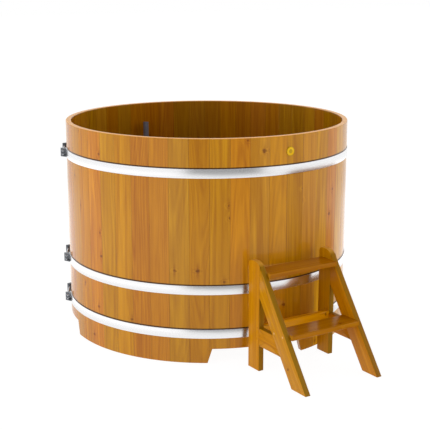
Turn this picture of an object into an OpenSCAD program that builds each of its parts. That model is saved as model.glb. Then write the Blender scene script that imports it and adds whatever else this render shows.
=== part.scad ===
// Round wooden plunge tub: staves held by three steel hoops, a grooved-in floor,
// an overflow standpipe in the floor drain, and a free-standing pair of wooden steps.
// Millimetres, +Z up. The origin is on the tub's axis, on the ground. The front is -Y.

/* [Tub] */
// Outer diameter over the staves
tub_d = 1488; // [1100:2:1900]
// Height from the ground to the rim
tub_h = 1100; // [850:5:1300]
// Thickness of a stave
stave_t = 28; // [22:1:40]
// Radius of the rounded edges along the rim
rim_round = 5; // [1:0.5:8]
// Turn of the stave ring about the tub's axis, in degrees
stave_turn = -12.5; // [-20:0.5:-5]

/* [Feet] */
// Height of the cut-outs between the feet
arch_h = 72; // [40:1:90]
// Width of a cut-out where it meets the ground
arch_foot_w = 498; // [470:1:520]
// Width of a cut-out at its top
arch_top_w = 455; // [430:1:470]
// Turn of the left cut-out from the front one, in degrees
left_arch_turn = -103; // [-106:0.5:-101]
// Turn of the right cut-out from the front one, in degrees
right_arch_turn = 127.5; // [124:0.5:130]

/* [Floor] */
// Height of the underside of the floor boards
floor_z = 135; // [125:1:150]
// Thickness of the floor boards
floor_t = 28; // [20:1:36]
// Width of a floor board
board_w = 132; // [90:1:180]
// Depth of the groove in the staves that holds the floor
groove_depth = 10; // [6:1:13]
// Side of the tongue on a floor board
tongue = 8; // [5:0.5:10]
// Width of a floor batten
batten_w = 90; // [60:1:120]
// Height of a floor batten
batten_h = 38; // [25:1:45]
// Distance from the middle batten to the outer ones
batten_pitch = 380; // [300:5:420]

/* [Hoops] */
// Height of a hoop band
hoop_w = 45; // [35:1:60]
// Thickness of a hoop band
hoop_t = 4; // [2:0.5:6]
// Height of the middle of the bottom hoop
low_hoop_z = 149; // [140:1:160]
// Height of the middle of the middle hoop
mid_hoop_z = 369; // [300:1:450]
// Distance from the rim down to the middle of the top hoop
top_hoop_drop = 164; // [135:1:300]
// Direction of the hoop tensioners, in degrees from the front
tension_turn = -118; // [-140:1:-100]
// Distance between the inner faces of a tensioner's two lugs
lug_gap = 150; // [110:1:180]
// Length of a lug along its hoop
lug_l = 34; // [24:1:45]
// How far a lug stands out from its hoop
lug_out = 27; // [22:0.5:34]
// Thickness of a lug's plates
lug_t = 5; // [3:0.5:6]
// Diameter of the tension bolts
bolt_d = 8; // [6:0.5:8.5]
// Distance between the two bolts of a tensioner
bolt_pitch = 18; // [17.5:0.1:18.5]
// Distance of a tension bolt's axis from the hoop's outer face
bolt_off = 15; // [13:0.5:18]
// Length of a tension bolt that shows past its nut
bolt_spare = 14; // [4:1:20]

/* [Badge] */
// Diameter of the round badge
badge_d = 45; // [25:1:60]
// Thickness of the badge
badge_t = 3; // [2:0.5:5]
// Height of the badge's middle below the rim
badge_drop = 77; // [50:1:110]

/* [Overflow and drain] */
// Outer diameter of the overflow standpipe
pipe_d = 32; // [25:1:40]
// Wall of the standpipe
pipe_wall = 2; // [1:0.5:3]
// Drop from the rim to the standpipe's mouth
pipe_drop = 107; // [60:1:250]
// Distance of the standpipe's axis from the tub's inner wall
pipe_off = 44; // [40:1:70]
// How deep the standpipe sits in the drain
socket_depth = 32; // [15:1:45]
// Diameter of the drain's flange
flange_d = 76; // [70:1:78]
// Thickness of the drain's flange
flange_t = 4; // [3:0.5:6]
// Thickness of the drain's gasket
gasket_t = 2; // [1:0.5:3]
// Outer diameter of the drain's threaded tail
tail_d = 41.9; // [38:0.1:48]
// Length of the drain's thread below the floor
tail_l = 24; // [18:1:34]
// Outer diameter of the plain spigot for the waste pipe
spigot_d = 40; // [34:0.5:41]
// Length of the spigot
spigot_l = 38; // [25:1:50]
// Thickness of the drain's back nut
nut_t = 12; // [8:1:16]
// Height of the lower pipe clip above the floor
low_clip_rise = 240; // [100:5:300]
// Distance from the standpipe's mouth down to the upper pipe clip
high_clip_drop = 140; // [60:5:250]
// Height of a pipe clip
clip_h = 20; // [12:1:30]

/* [Steps] */
// Width of the steps over their sides
steps_w = 449; // [360:1:600]
// Height of the steps
steps_h = 535; // [480:1:620]
// Gap between the tub's wall and the rear of the steps
steps_gap = 18; // [12:1:80]
// Sideways shift of the steps from the tub's middle
steps_shift = -22; // [-80:1:80]
// Thickness of the step planks
plank_t = 28; // [20:0.5:32]
// Width of a side plank
plank_w = 88; // [70:1:100]
// Thickness of a tread
tread_t = 24; // [18:0.5:32]
// Depth of the side frames along the ground
steps_depth = 455; // [430:1:500]
// Lean of the front planks from the vertical, in degrees
steps_lean = 35.4; // [33:0.1:37]
// Height of the lower tread's top
low_tread_z = 238; // [224:1:255]
// Height of the upper tread's top
high_tread_z = 488; // [460:1:494]
// Depth of a tread
tread_w = 120; // [100:1:140]
// How far a tread's front stands out before the side plank at its underside
tread_nose = 10; // [4:1:20]
// Radius of the rounded long edges of a tread
tread_round = 5; // [1:0.5:8]
// Height of the underside of the side rails
rail_z = 127; // [100:1:136]
// Height of the underside of the rear rail
rear_rail_z = 138; // [125:1:145]
// Radius of the rounded front corner of the steps' heads
head_front_r = 60; // [40:1:70]
// Radius of the rounded rear corner of the steps' heads
head_rear_r = 20; // [8:1:30]
// Diameter of the wooden plugs over the screws
plug_d = 10; // [8:0.5:14]
// Diameter of the dowels in the side frames
dowel_d = 8; // [6:1:10]

/* [Hidden] */
$fn = 64;
stave_count = 48;
stave_angle = 360 / stave_count;
arch_staves = 5;
foot_staves = 9;
tub_r = tub_d / 2;
bore_r = tub_r - stave_t;
floor_top = floor_z + floor_t;
floor_fit = 0.1;
floor_slack = 1;
floor_r = bore_r + groove_depth - floor_slack;
ring_fn = 384;

// How far a cutting shape runs past the face that it opens.
over = 1;

stave_joint = 0.12;
stave_body_angle = stave_angle - atan(stave_joint / tub_r);

// Turn of each cut-out from the front one, and the middle stave of each in the same order.
arch_turns = [0, left_arch_turn, right_arch_turn];
left_arch_step = -(foot_staves + arch_staves);
right_arch_step = (stave_count + left_arch_step) / 2;
arch_steps = [0, left_arch_step, right_arch_step];
arch_reach = asin(arch_foot_w / 2 / bore_r) + stave_angle;
arch_slope = (arch_foot_w - arch_top_w) / 2 / arch_h;
arch_inner_y = sqrt(pow(bore_r, 2) - pow(arch_foot_w / 2, 2));

seat_gap = 0.3;
top_hoop_z = tub_h - top_hoop_drop;
hoop_r = tub_r + seat_gap;
hoop_out_r = hoop_r + hoop_t;
lug_in = lug_gap / 2;
bolt_play = 0.5;
bolt_hole_r = bolt_d / 2 + bolt_play;
lug_root = 12;
bolt_y = -(hoop_out_r + bolt_off) * cos(asin(lug_in / hoop_out_r));
washer_t = 2;
washer_r = bolt_d;
nut_w = bolt_d * 1.6;
nut_h = bolt_d * 0.8;
head_h = bolt_d * 0.64;
thread_fit = 0.05;

badge_rim_w = 2.5;
badge_rim_h = 0.8;

pipe_r = pipe_d / 2;
pipe_y = bore_r - pipe_off;
pipe_fit = 0.08;
pipe_top = tub_h - pipe_drop;
flange_z = floor_top + gasket_t;
socket_z = flange_z + flange_t - socket_depth;
tail_r = tail_d / 2;
tail_low = floor_z - tail_l;
spigot_low = tail_low - spigot_l;
pipe_seat = 3;
waste_r = pipe_r - pipe_seat;
gasket_fit = 0.3;
gasket_d = flange_d - 2;
washer_d = flange_d - 8;
back_nut_z = floor_z - gasket_t - nut_t;
clip_heights = [floor_top + low_clip_rise, pipe_top - high_clip_drop];
clip_fit = 0.3;
clip_wall = 3;
clip_mouth = 110;
clip_plate_w = 34;
clip_plate_t = 3;
clip_plate_h = clip_h + 32;
clip_stem_r = 5;
clip_screw_r = 2;
clip_screw_bite = 16;
clip_screw_head_r = 4;
clip_screw_head_h = 2;
clip_screw_z = (clip_h + clip_plate_h) / 4;

board_gap = 0.3;
board_pitch = board_w + board_gap;
middle_boards = 1;
board_reach = ceil((floor_r - board_w / 2) / board_pitch);
outer_board = floor_r - (board_reach - 0.5) * board_pitch < 2 * tongue ? board_reach - 1 : board_reach;
batten_z = floor_z - batten_h;
batten_end_gap = 3;
wood_screw_r = 2.5;
screw_head_r = 5;
screw_head_h = 3;
screw_bite = 18;

plank_in = steps_w / 2 - plank_t;
steps_back = tub_r + steps_gap;
lean_tan = tan(steps_lean);
foot_rear = steps_depth - plank_w / cos(steps_lean);
rail_top = rail_z + plank_w;
head_centre_u = steps_depth - lean_tan * (steps_h - head_front_r) - head_front_r / cos(steps_lean);
step_screw_r = 2.5;
step_screw_head_r = 4.5;
step_screw_head_h = 3;
step_screw_bite = 45;
plug_t = 7;
screw_fit = 0.1;
dowel_l = 60;
dowel_fit = 0.1;

function front_u(z) = steps_depth - lean_tan * z;
function rear_u(z) = foot_rear - lean_tan * z;
function tread_front(top) = front_u(top - tread_t) + tread_nose;

// Turns a shape that is drawn at the front to another direction round the tub.
module around(turn) {
    rotate([0, 0, turn]) children();
}

// Cut-out between two feet, drawn at the front: a trapezium wider at the ground.
module arch_cut() {
    translate([0, -arch_inner_y + over, 0])
        rotate([90, 0, 0])
            linear_extrude(height = tub_r - arch_inner_y + 2 * over)
                polygon([
                    [-arch_foot_w / 2 - over * arch_slope, -over],
                    [arch_foot_w / 2 + over * arch_slope, -over],
                    [arch_top_w / 2, arch_h],
                    [-arch_top_w / 2, arch_h]
                ]);
}

// Section of the wall: a plain board with rounded rim edges and the groove for the floor.
module stave_section() {
    difference() {
        translate([bore_r, 0]) square([stave_t, tub_h]);
        translate([bore_r - over, floor_z - floor_fit])
            square([groove_depth + over, floor_t + 2 * floor_fit]);
        rim_corner(bore_r + rim_round, 1);
        rim_corner(tub_r - rim_round, 0);
    }
}

// What the rounding takes off one edge of the rim.
module rim_corner(centre_r, inner) {
    translate([centre_r, tub_h - rim_round]) mirror([inner, 0]) difference() {
        square([rim_round + over, rim_round + over]);
        circle(r = rim_round);
    }
}

// One stave, counted from the middle of the front cut-out.
module stave(index) {
    turn = stave_turn + index * stave_angle;
    difference() {
        rotate([0, 0, turn - 90 - stave_body_angle / 2])
            rotate_extrude(angle = stave_body_angle, $fn = ring_fn) stave_section();
        for (arch_turn = arch_turns) {
            away = (index * stave_angle - arch_turn + 540) % 360 - 180;
            if (abs(away) < arch_reach)
                around(stave_turn + arch_turn) arch_cut();
        }
    }
}

module staves(first, count, tint) {
    color(tint) for (i = [0 : count - 1]) stave(first + i);
}

// The three cut-outs' staves, and the feet's between them.
arch_half = (arch_staves - 1) / 2;
front_foot_first = left_arch_step + arch_half + 1;
left_foot_first = right_arch_step + arch_half + 1 - stave_count;
right_foot_first = arch_half + 1;
foot_third = foot_staves / 3;
side_foot_staves = (stave_count - foot_staves - 3 * arch_staves) / 2;
foot_quarter = side_foot_staves / 4;

module front_foot_staves(part) {
    staves(front_foot_first + part * foot_third, foot_third, "#C4822C");
}

module arch_staves_at(step, tint) {
    staves(step - arch_half, arch_staves, tint);
}

module left_foot_staves(part) {
    staves(left_foot_first + part * foot_quarter, foot_quarter, "#BE7C26");
}

module right_foot_staves(part) {
    staves(right_foot_first + part * foot_quarter, foot_quarter, "#C8903C");
}

// One floor board with a tongue on its right edge and a groove in its left edge.
module floor_board(index) {
    middle = index * board_pitch;
    first = index == -outer_board;
    last = index == outer_board;
    left = first ? -floor_r : middle - board_w / 2;
    right = last ? floor_r : middle + board_w / 2;
    mid_z = floor_z + floor_t / 2;
    difference() {
        intersection() {
            translate([0, 0, floor_z]) cylinder(r = floor_r, h = floor_t, $fn = ring_fn);
            union() {
                translate([left, -floor_r, floor_z]) cube([right - left, 2 * floor_r, floor_t]);
                if (!last)
                    translate([right - over, -floor_r, mid_z - tongue / 2])
                        cube([tongue + over, 2 * floor_r, tongue]);
            }
        }
        if (!first)
            translate([left - over, -floor_r, mid_z - tongue / 2 - board_gap])
                cube([tongue + over + board_gap, 2 * floor_r, tongue + 2 * board_gap]);
        if (abs(index) * board_pitch - board_w / 2 < tail_r + gasket_fit)
            translate([0, pipe_y, floor_z - over]) cylinder(r = tail_r + gasket_fit, h = floor_t + 2 * over);
    }
}

module floor_boards(first, last) {
    color("#B4762A") for (i = [first : last]) floor_board(i);
}

// Half the length of a batten, which ends just inside the staves.
function batten_half(y) =
    sqrt(pow(bore_r - batten_end_gap, 2) - pow(abs(y) + batten_w / 2, 2));

// Places of the screws that hold the boards to one batten.
function screw_places(y) = [
    for (i = [-outer_board : outer_board])
        if (abs(i * board_pitch) + 2 * screw_head_r < batten_half(y)) i * board_pitch
];

module floor_battens() {
    color("#A86C24") for (y = [-batten_pitch, 0, batten_pitch]) difference() {
        translate([-batten_half(y), y - batten_w / 2, batten_z])
            cube([2 * batten_half(y), batten_w, batten_h]);
        for (x = screw_places(y)) translate([x, y, 0]) batten_screw(screw_fit);
    }
}

// Countersunk screw driven up from below, through the batten into a board.
module batten_screw(extra) {
    translate([0, 0, batten_z]) {
        translate([0, 0, -extra])
            cylinder(r1 = screw_head_r + 2 * extra, r2 = wood_screw_r + extra, h = screw_head_h + extra);
        cylinder(r = wood_screw_r + extra, h = batten_h + (extra > 0 ? over : screw_bite));
    }
}

module batten_screws() {
    color("#B8BBC0") for (y = [-batten_pitch, 0, batten_pitch])
        for (x = screw_places(y)) translate([x, y, 0]) batten_screw(0);
}

// Hoop band, open between the lugs of its tensioner.
module hoop(z) {
    open = 2 * asin((lug_in - lug_t) / hoop_out_r);
    color("#E4E6EA") rotate([0, 0, tension_turn - 90 + open / 2])
        rotate_extrude(angle = 360 - open, $fn = ring_fn)
            translate([hoop_r, z - hoop_w / 2]) square([hoop_t, hoop_w]);
}

// One lug: an upright plate across the hoop and a cheek along each of its edges.
// Its plates are drawn into the hoop by lug_root and cut off along the hoop's outer face.
module lug(z, side) {
    reach = hoop_out_r + lug_out;
    face = -reach * cos(asin(lug_in / hoop_out_r));
    difference() {
        union() {
            translate([side > 0 ? lug_in : -lug_in - lug_t, face, z - hoop_w / 2])
                cube([lug_t, lug_out + lug_root, hoop_w]);
            for (edge = [-1, 1])
                translate([0, 0, z + edge * (hoop_w - lug_t) / 2 - lug_t / 2])
                    linear_extrude(height = lug_t)
                        polygon([
                            [side * (lug_in + lug_t / 2), face],
                            [side * (lug_in + lug_t), face],
                            [side * (lug_in + lug_l), -hoop_r * cos(asin((lug_in + lug_l) / hoop_out_r))],
                            [side * (lug_in + lug_t / 2), -hoop_r + lug_root]
                        ]);
        }
        cylinder(r = hoop_out_r, h = tub_h, $fn = ring_fn);
        for (row = [-1, 1])
            translate([side * lug_in - lug_t * 2, bolt_y, z + row * bolt_pitch / 2])
                rotate([0, 90, 0]) cylinder(r = bolt_hole_r, h = 4 * lug_t);
    }
}

module lugs(z) {
    color("#8C9096") around(tension_turn) {
        lug(z, -1);
        lug(z, 1);
    }
}

// Hexagon bar along +X, with the given width across its flats.
module hex_bar(across, length) {
    rotate([0, 90, 0]) cylinder(d = across / cos(30), h = length, $fn = 6);
}

// Two hexagon-head bolts that run from the left lug to the right one.
module tension_bolts(z) {
    head_x = -lug_in - lug_t - washer_t;
    shank = 2 * (lug_in + lug_t + washer_t) + nut_h + bolt_spare;
    color("#6E7278") around(tension_turn) for (row = [-1, 1])
        translate([head_x, bolt_y, z + row * bolt_pitch / 2]) {
            rotate([0, 90, 0]) cylinder(d = bolt_d, h = shank);
            translate([-head_h, 0, 0]) hex_bar(nut_w, head_h);
        }
}

// Nuts at the right lug, and the washers at both lugs.
module nuts(z) {
    color("#9A9EA4") around(tension_turn) for (row = [-1, 1])
        translate([0, bolt_y, z + row * bolt_pitch / 2]) {
            translate([lug_in + lug_t + washer_t, 0, 0]) difference() {
                hex_bar(nut_w, nut_h);
                bolt_hole();
            }
            for (x = [lug_in + lug_t, -lug_in - lug_t - washer_t])
                translate([x, 0, 0]) difference() {
                    rotate([0, 90, 0]) cylinder(r = washer_r, h = washer_t);
                    bolt_hole();
                }
        }
}

module bolt_hole() {
    translate([-over, 0, 0]) rotate([0, 90, 0]) cylinder(r = bolt_d / 2 + thread_fit, h = nut_h + 2 * over);
}

// Round badge with a raised rim, flat against the wall.
module badge() {
    color("#E2B21E") translate([0, -tub_r, tub_h - badge_drop]) rotate([90, 0, 0]) difference() {
        cylinder(d = badge_d, h = badge_t);
        translate([0, 0, badge_t - badge_rim_h]) cylinder(d = badge_d - 2 * badge_rim_w, h = badge_rim_h + over);
    }
}

// Drain: a flange on the floor, a socket for the standpipe, a threaded tail and a spigot.
module drain_body() {
    color("#C9CCD1") translate([0, pipe_y, 0]) difference() {
        union() {
            translate([0, 0, flange_z]) cylinder(d = flange_d, h = flange_t);
            translate([0, 0, tail_low]) cylinder(r = tail_r, h = flange_z - tail_low);
            translate([0, 0, spigot_low]) cylinder(d = spigot_d, h = spigot_l);
        }
        translate([0, 0, socket_z]) cylinder(r = pipe_r + pipe_fit, h = socket_depth + over);
        translate([0, 0, spigot_low - over]) cylinder(r = waste_r, h = socket_z - spigot_low + 2 * over);
    }
}

// Flat ring round the drain's tail.
module tail_ring(z, thick, outer_d) {
    translate([0, pipe_y, z]) difference() {
        cylinder(d = outer_d, h = thick);
        translate([0, 0, -over]) cylinder(r = tail_r + gasket_fit, h = thick + 2 * over);
    }
}

module drain_gasket() {
    color("#26282B") tail_ring(floor_top, gasket_t, gasket_d);
}

module drain_washer() {
    color("#2C2E31") tail_ring(floor_z - gasket_t, gasket_t, washer_d);
}

module drain_nut() {
    color("#C9CCD1") translate([0, pipe_y, back_nut_z]) difference() {
        cylinder(d = washer_d, h = nut_t, $fn = 6);
        translate([0, 0, -over]) cylinder(r = tail_r + thread_fit, h = nut_t + 2 * over);
    }
}

// Loose pipe that stands in the drain: water above its mouth runs off.
module standpipe() {
    color("#8E98A8") translate([0, pipe_y, socket_z]) difference() {
        cylinder(d = pipe_d, h = pipe_top - socket_z);
        translate([0, 0, -over]) cylinder(d = pipe_d - 2 * pipe_wall, h = pipe_top - socket_z + 2 * over);
    }
}

// Open spring clip on a stem, with a plate shaped to the wall.
module pipe_clip(z) {
    ring_out = pipe_r + clip_fit + clip_wall;
    translate([0, 0, z]) {
        translate([0, pipe_y, -clip_h / 2]) rotate([0, 0, -90 + clip_mouth / 2])
            rotate_extrude(angle = 360 - clip_mouth)
                translate([pipe_r + clip_fit, 0]) square([clip_wall, clip_h]);
        translate([0, pipe_y + ring_out - clip_wall / 2, 0]) rotate([-90, 0, 0])
            cylinder(r = clip_stem_r, h = pipe_off - ring_out + (clip_wall - clip_plate_t) / 2);
        difference() {
            clip_plate();
            for (row = [-1, 1]) translate([0, 0, row * clip_screw_z]) clip_screw(screw_fit);
        }
    }
}

// A clip's plate, curved with the wall behind it.
module clip_plate() {
    intersection() {
        translate([-clip_plate_w / 2, 0, -clip_plate_h / 2])
            cube([clip_plate_w, bore_r + over, clip_plate_h]);
        translate([0, 0, -clip_plate_h]) difference() {
            cylinder(r = bore_r, h = 2 * clip_plate_h, $fn = ring_fn);
            translate([0, 0, -over])
                cylinder(r = bore_r - clip_plate_t, h = 2 * clip_plate_h + 2 * over, $fn = ring_fn);
        }
    }
}

// Small round-head screw through a clip's plate into the wall.
module clip_screw(extra) {
    start = extra > 0 ? -over : 0;
    translate([0, bore_r - clip_plate_t + start, 0]) rotate([-90, 0, 0])
        cylinder(r = clip_screw_r + extra, h = clip_plate_t - start + (extra > 0 ? over : clip_screw_bite));
}

module pipe_clips() {
    color("#B9BDC3") for (z = clip_heights) pipe_clip(z);
}

module clip_screws() {
    color("#8A8E94") for (z = clip_heights)
        for (row = [-1, 1]) translate([0, 0, z + row * clip_screw_z]) {
            clip_screw(0);
            translate([0, bore_r - clip_plate_t, 0]) rotate([90, 0, 0])
                cylinder(r = clip_screw_head_r, h = clip_screw_head_h);
        }
}

// Stands a flat outline of the side frame upright. In the outline the first number
// runs out from the tub and the second one runs up. right_x is the plank's right face.
module side_plank(right_x) {
    translate([steps_shift + right_x, -steps_back, 0])
        rotate([90, 0, -90]) linear_extrude(height = plank_t) children();
}

function side_x(side) = side > 0 ? steps_w / 2 : -plank_in;

module post_outline() {
    difference() {
        square([plank_w, steps_h]);
        translate([head_rear_r, steps_h - head_rear_r]) mirror([1, 0]) difference() {
            square([head_rear_r + over, head_rear_r + over]);
            circle(r = head_rear_r);
        }
        translate([head_centre_u, steps_h - head_front_r]) difference() {
            square([plank_w, head_front_r + over]);
            circle(r = head_front_r);
        }
    }
}

module stringer_outline() {
    polygon([
        [foot_rear, 0],
        [steps_depth, 0],
        [plank_w, (steps_depth - plank_w) / lean_tan],
        [plank_w, (foot_rear - plank_w) / lean_tan]
    ]);
}

module rail_outline() {
    polygon([
        [plank_w, rail_z],
        [rear_u(rail_z), rail_z],
        [rear_u(rail_top), rail_top],
        [plank_w, rail_top]
    ]);
}

// Screw places on a side frame: distance out from the tub, and height.
low_mid_z = low_tread_z - tread_t / 2;
high_mid_z = high_tread_z - tread_t / 2;
low_mid_u = (front_u(low_mid_z) + rear_u(low_mid_z)) / 2;
plug_pitch = plank_w * 0.75;
tread_screws = [
    [low_mid_u - plug_pitch / 2, low_mid_z],
    [low_mid_u + plug_pitch / 2, low_mid_z],
    [plank_w * 0.35, high_mid_z],
    [plank_w + (front_u(high_mid_z) - plank_w) * 0.5, high_mid_z]
];
rail_screws = [
    [plank_w - plank_t / 2, rear_rail_z + plank_w * 0.25],
    [plank_w - plank_t / 2, rear_rail_z + plank_w * 0.85]
];
step_screw_spots = concat(tread_screws, rail_screws);

// Puts its children at each screw place, pointing inwards from the side's outer face.
module at_step_screws() {
    for (side = [-1, 1]) for (spot = step_screw_spots)
        translate([steps_shift + side * steps_w / 2, -steps_back - spot[0], spot[1]])
            rotate([0, -90 * side, 0]) children();
}

// Hole for a screw and its plug through a side plank.
module step_screw_hole() {
    translate([0, 0, -over]) cylinder(r = step_screw_r + screw_fit, h = plank_t + 2 * over);
    translate([0, 0, -over]) cylinder(d = plug_d, h = plug_t + step_screw_head_h + over);
}

module step_screws() {
    color("#B8BBC0") at_step_screws() translate([0, 0, plug_t]) {
        cylinder(r = step_screw_head_r, h = step_screw_head_h);
        cylinder(r = step_screw_r, h = plank_t - plug_t + step_screw_bite);
    }
}

module step_plugs() {
    color("#E0B070") at_step_screws() cylinder(d = plug_d, h = plug_t);
}

// Dowel places in a side frame: distance out, height and direction of the dowel's middle.
post_joint_z = (steps_depth - plank_w + foot_rear - plank_w) / 2 / lean_tan;
rail_dowel_z = [rail_z + plank_w * 0.3, rail_z + plank_w * 0.7];
dowel_spots = concat(
    [for (share = [-0.6, 0.08]) [plank_w, post_joint_z + share * plank_w, 0]],
    [for (z = rail_dowel_z) [plank_w, z, 0]],
    [for (z = rail_dowel_z) [rear_u(z), z, -steps_lean]]
);

module at_dowels() {
    for (side = [-1, 1]) for (spot = dowel_spots)
        translate([steps_shift + side * (steps_w / 2 - plank_t / 2), -steps_back - spot[0], spot[1]])
            rotate([90 + spot[2], 0, 0]) children();
}

module dowel(extra) {
    cylinder(d = dowel_d + 2 * extra, h = dowel_l + 2 * extra, center = true);
}

module frame_dowels() {
    color("#D9A45E") at_dowels() dowel(0);
}

// A piece of a side frame with its screw holes and dowel holes.
module drilled() {
    difference() {
        children();
        at_step_screws() step_screw_hole();
        at_dowels() dowel(dowel_fit);
    }
}

module post(side) {
    color("#C88C34") drilled() side_plank(side_x(side)) post_outline();
}

module stringer(side) {
    color("#D08C3C") drilled() side_plank(side_x(side)) stringer_outline();
}

module side_rail(side) {
    color("#CC8832") drilled() side_plank(side_x(side)) rail_outline();
}

module rear_rail() {
    color("#B5771C")
        translate([steps_shift - plank_in, -steps_back - plank_w, rear_rail_z])
            cube([2 * plank_in, plank_t, plank_w]);
}

// Tread between the sides, with rounded long edges.
module tread(top) {
    r = tread_round;
    translate([steps_shift + plank_in, -steps_back - tread_front(top), top - tread_t])
        rotate([90, 0, -90]) linear_extrude(height = 2 * plank_in) mirror([1, 0]) union() {
            translate([r, 0]) square([tread_w - 2 * r, tread_t]);
            translate([0, r]) square([tread_w, tread_t - 2 * r]);
            for (x = [r, tread_w - r]) for (y = [r, tread_t - r]) translate([x, y]) circle(r = r);
        }
}

module upper_tread() {
    color("#A8741E") tread(high_tread_z);
}

module lower_tread() {
    color("#A8741E") tread(low_tread_z);
}

front_foot_staves(0);  // front_foot_staves_left
front_foot_staves(1);  // front_foot_staves_mid
front_foot_staves(2);  // front_foot_staves_right
arch_staves_at(arch_steps[0], "#C08230");  // front_arch_staves
arch_staves_at(arch_steps[1], "#B87828");  // left_arch_staves
arch_staves_at(arch_steps[2], "#CC9440");  // right_arch_staves
left_foot_staves(0);  // left_foot_staves_1
left_foot_staves(1);  // left_foot_staves_2
left_foot_staves(2);  // left_foot_staves_3
left_foot_staves(3);  // left_foot_staves_4
right_foot_staves(0);  // right_foot_staves_1
right_foot_staves(1);  // right_foot_staves_2
right_foot_staves(2);  // right_foot_staves_3
right_foot_staves(3);  // right_foot_staves_4
floor_boards(-outer_board, -middle_boards - 1);  // floor_boards_left
floor_boards(-middle_boards, middle_boards);  // floor_boards_middle
floor_boards(middle_boards + 1, outer_board);  // floor_boards_right
floor_battens();
batten_screws();
hoop(low_hoop_z);  // bottom_hoop
hoop(mid_hoop_z);  // middle_hoop
hoop(top_hoop_z);  // top_hoop
lugs(low_hoop_z);  // bottom_lugs
lugs(mid_hoop_z);  // middle_lugs
lugs(top_hoop_z);  // top_lugs
tension_bolts(low_hoop_z);  // bottom_tension_bolts
tension_bolts(mid_hoop_z);  // middle_tension_bolts
tension_bolts(top_hoop_z);  // top_tension_bolts
nuts(low_hoop_z);  // bottom_nuts
nuts(mid_hoop_z);  // middle_nuts
nuts(top_hoop_z);  // top_nuts
badge();
drain_body();
drain_gasket();
drain_washer();
drain_nut();
standpipe();
pipe_clips();
clip_screws();
post(-1);  // left_post
post(1);  // right_post
stringer(-1);  // left_stringer
stringer(1);  // right_stringer
side_rail(-1);  // left_side_rail
side_rail(1);  // right_side_rail
rear_rail();
upper_tread();
lower_tread();
step_screws();
step_plugs();
frame_dowels();
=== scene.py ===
"""Looks of a round wooden plunge tub: varnished larch staves in three bright steel hoops,
a yellow enamel badge, a grey overflow pipe, and a free-standing pair of larch steps.
Metres; origin on the tub's axis on the ground, +Z up, the steps towards -Y."""

import math

import bmesh
import bpy
import numpy as np
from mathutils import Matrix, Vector


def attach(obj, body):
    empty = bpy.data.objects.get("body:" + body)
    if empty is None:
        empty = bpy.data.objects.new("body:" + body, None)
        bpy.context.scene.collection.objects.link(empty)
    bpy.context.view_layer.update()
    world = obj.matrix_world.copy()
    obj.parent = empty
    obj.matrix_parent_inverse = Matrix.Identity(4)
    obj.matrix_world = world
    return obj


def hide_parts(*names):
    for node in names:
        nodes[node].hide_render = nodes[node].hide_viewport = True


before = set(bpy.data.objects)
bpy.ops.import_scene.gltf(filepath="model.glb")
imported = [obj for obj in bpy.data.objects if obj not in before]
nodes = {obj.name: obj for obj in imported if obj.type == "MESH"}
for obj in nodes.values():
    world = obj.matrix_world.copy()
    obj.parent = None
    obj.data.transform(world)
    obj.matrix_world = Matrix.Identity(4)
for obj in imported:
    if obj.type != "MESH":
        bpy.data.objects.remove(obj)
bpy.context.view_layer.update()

# Sizes that the pieces share, as the model has them.
BORE_R = 0.716
TUB_R = 0.744
STAVES = 48
STAVE_TURN = math.radians(-12.5)
STAVE_ANGLE = math.radians(7.5)
STAVE_W = STAVE_ANGLE * TUB_R
HOOP_IN_R = 0.7443
HOOP_OUT_R = 0.7483
HOOP_W = 0.045
HOOP_HEIGHTS = {"bottom": 0.149, "middle": 0.369, "top": 0.936}
TENSION_TURN = math.radians(-118)
LUG_IN = 0.075
LUG_T = 0.005
BOLT_R = 0.004
BOLT_OFF = 0.015
BOLT_PITCH = 0.018
BOLT_SPARE = 0.014
THREAD_PITCH = 0.00125
THREAD_LENGTH = 0.062
THREAD_GAP = 0.00005
WASHER_T = 0.002
WASHER_R = 0.008
NUT_W = 0.0128
NUT_H = 0.0064
HEAD_H = 0.00512
BADGE_R = 0.0225
BADGE_T = 0.003
BADGE_Z = 1.023
PIPE_Y = 0.672
PIPE_R = 0.016
PIPE_WALL = 0.002
PIPE_LOW = 0.137
PIPE_TOP = 0.993
BOARD_PITCH = 0.1323
CLIP_HEIGHTS = (0.403, 0.853)
CLIP_SCREW_Z = 0.018
CLIP_PLATE_Y = 0.713
STEPS_X = -0.022
STEPS_BACK = 0.762
STEPS_W = 0.449
STEPS_H = 0.535
STEPS_DEPTH = 0.455
STEP_LEAN = math.radians(35.4)
PLANK_T = 0.028
PLANK_W = 0.088
HEAD_FRONT_R = 0.06
HEAD_REAR_R = 0.02
RAIL_Z = 0.127
REAR_RAIL_Z = 0.138
PLUG_R = 0.005
PLUG_LOW_Z = 0.226
PLUG_HIGH_Z = 0.476


# Materials ------------------------------------------------------------------

def linear(code):
    """A hex colour of the screen as linear light, with full alpha."""
    parts = [int(code[i:i + 2], 16) / 255 for i in (1, 3, 5)]
    return tuple(p / 12.92 if p <= 0.04045 else ((p + 0.055) / 1.055) ** 2.4 for p in parts) + (1,)


def add(tree, kind, inputs=(), out=0, **settings):
    """Adds one node, sets it, feeds its inputs with numbers, colours or other sockets, and returns one of
    its outputs."""
    node = tree.nodes.new("ShaderNode" + kind)
    for name, value in settings.items():
        setattr(node, name, value)
    for key, value in dict(inputs).items():
        if isinstance(value, bpy.types.NodeSocket):
            tree.links.new(value, node.inputs[key])
        else:
            node.inputs[key].default_value = value
    return node.outputs[out]


def calc(tree, operation, *values):
    """Arithmetic on up to three numbers; MULTIPLY_ADD is first times second plus third."""
    return add(tree, "Math", dict(enumerate(values)), operation=operation)


def vector(tree, operation, *values, out=0):
    """Arithmetic on vectors; out is "Value" where the result is a number."""
    return add(tree, "VectorMath", dict(enumerate(values)), out, operation=operation)


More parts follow.
